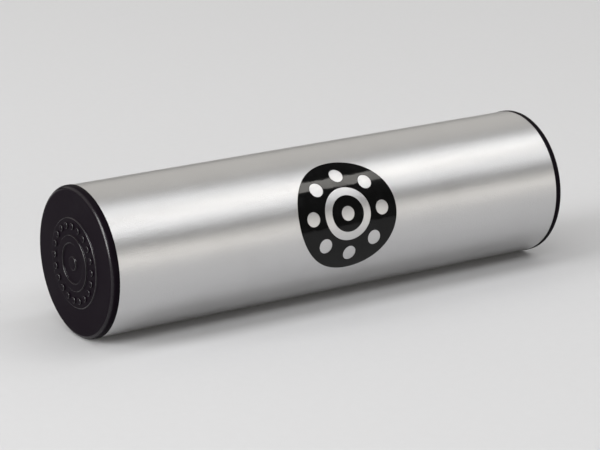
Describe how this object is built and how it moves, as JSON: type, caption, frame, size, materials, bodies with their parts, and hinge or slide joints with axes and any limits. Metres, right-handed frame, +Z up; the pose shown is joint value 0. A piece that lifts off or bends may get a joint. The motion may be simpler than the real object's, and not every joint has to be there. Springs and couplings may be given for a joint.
{
  "type": "ganza shaker",
  "caption": "Tubular ganza shaker: a satin aluminium tube closed by black press-in end caps, with a round glossy roundel outside and loose steel shot that slides and rolls inside.",
  "frame": {"origin": "mid length, under the tube's axis, on the surface that the two cap flanges rest on", "axes": "+X along the tube from the left cap to the right cap, +Z up, -Y towards the side that carries the roundel"},
  "size_m": [0.2186, 0.0606, 0.0607],
  "materials": {
    "tube_metal": "satin, fine blasted",
    "cap_plastic": "moulded, semi-matt",
    "roundel_film": "gloss black",
    "shot_steel": "tumbled balls"
  },
  "bodies": {
    "shaker_body": {"tube": "tube_metal", "left_end_cap": "cap_plastic", "right_end_cap": "cap_plastic", "roundel": "roundel_film"},
    "shot_row_01": {"shot_row_01": "shot_steel"},
    "shot_row_02": {"shot_row_02": "shot_steel"},
    "shot_row_03": {"shot_row_03": "shot_steel"},
    "shot_row_04": {"shot_row_04": "shot_steel"},
    "shot_row_05": {"shot_row_05": "shot_steel"},
    "shot_row_06": {"shot_row_06": "shot_steel"},
    "shot_row_07": {"shot_row_07": "shot_steel"},
    "shot_row_08": {"shot_row_08": "shot_steel"},
    "shot_row_09": {"shot_row_09": "shot_steel"},
    "shot_row_10": {"shot_row_10": "shot_steel"},
    "shot_row_11": {"shot_row_11": "shot_steel"},
    "shot_row_12": {"shot_row_12": "shot_steel"},
    "shot_row_13": {"shot_row_13": "shot_steel"},
    "shot_row_14": {"shot_row_14": "shot_steel"},
    "shot_row_15": {"shot_row_15": "shot_steel"},
    "shot_row_16": {"shot_row_16": "shot_steel"},
    "shot_row_17": {"shot_row_17": "shot_steel"},
    "shot_row_18": {"shot_row_18": "shot_steel"},
    "shot_row_19": {"shot_row_19": "shot_steel"}
  },
  "joints": [
    {"name": "shot_roll", "type": "hinge", "parent": "shaker_body", "child": "shot_row_01", "pos_m": [0, 0, 0.03035], "axis": [1, 0, 0], "continuous": true},
    {"name": "shot_row_02_slide", "type": "slide", "parent": "shot_row_01", "child": "shot_row_02", "axis": [1, 0, 0], "range_m": [-0.04906, 0.05159]},
    {"name": "shot_row_03_slide", "type": "slide", "parent": "shot_row_01", "child": "shot_row_03", "axis": [1, 0, 0], "range_m": [-0.04906, 0.05159]},
    {"name": "shot_row_04_slide", "type": "slide", "parent": "shot_row_01", "child": "shot_row_04", "axis": [1, 0, 0], "range_m": [-0.05159, 0.05411]},
    {"name": "shot_row_05_slide", "type": "slide", "parent": "shot_row_01", "child": "shot_row_05", "axis": [1, 0, 0], "range_m": [-0.05159, 0.05411]},
    {"name": "shot_row_06_slide", "type": "slide", "parent": "shot_row_01", "child": "shot_row_06", "axis": [1, 0, 0], "range_m": [-0.05916, 0.06169]},
    {"name": "shot_row_07_slide", "type": "slide", "parent": "shot_row_01", "child": "shot_row_07", "axis": [1, 0, 0], "range_m": [-0.05916, 0.06169]},
    {"name": "shot_row_08_slide", "type": "slide", "parent": "shot_row_01", "child": "shot_row_08", "axis": [1, 0, 0], "range_m": [-0.06674, 0.06926]},
    {"name": "shot_row_09_slide", "type": "slide", "parent": "shot_row_01", "child": "shot_row_09", "axis": [1, 0, 0], "range_m": [-0.06674, 0.06926]},
    {"name": "shot_row_10_slide", "type": "slide", "parent": "shot_row_01", "child": "shot_row_10", "axis": [1, 0, 0], "range_m": [-0.07416, 0.07669]},
    {"name": "shot_row_11_slide", "type": "slide", "parent": "shot_row_01", "child": "shot_row_11", "axis": [1, 0, 0], "range_m": [-0.07669, 0.07921]},
    {"name": "shot_row_12_slide", "type": "slide", "parent": "shot_row_01", "child": "shot_row_12", "axis": [1, 0, 0], "range_m": [-0.07669, 0.07921]},
    {"name": "shot_row_13_slide", "type": "slide", "parent": "shot_row_01", "child": "shot_row_13", "axis": [1, 0, 0], "range_m": [-0.08426, 0.08174]},
    {"name": "shot_row_14_slide", "type": "slide", "parent": "shot_row_01", "child": "shot_row_14", "axis": [1, 0, 0], "range_m": [-0.08426, 0.08174]},
    {"name": "shot_row_15_slide", "type": "slide", "parent": "shot_row_01", "child": "shot_row_15", "axis": [1, 0, 0], "range_m": [-0.08679, 0.09436]},
    {"name": "shot_row_16_slide", "type": "slide", "parent": "shot_row_01", "child": "shot_row_16", "axis": [1, 0, 0], "range_m": [-0.08679, 0.09436]},
    {"name": "shot_row_17_slide", "type": "slide", "parent": "shot_row_01", "child": "shot_row_17", "axis": [1, 0, 0], "range_m": [-0.08931, 0.08679]},
    {"name": "shot_row_18_slide", "type": "slide", "parent": "shot_row_01", "child": "shot_row_18", "axis": [1, 0, 0], "range_m": [-0.08679, 0.09436]},
    {"name": "shot_row_19_slide", "type": "slide", "parent": "shot_row_01", "child": "shot_row_19", "axis": [1, 0, 0], "range_m": [-0.08679, 0.09436]}
  ]
}
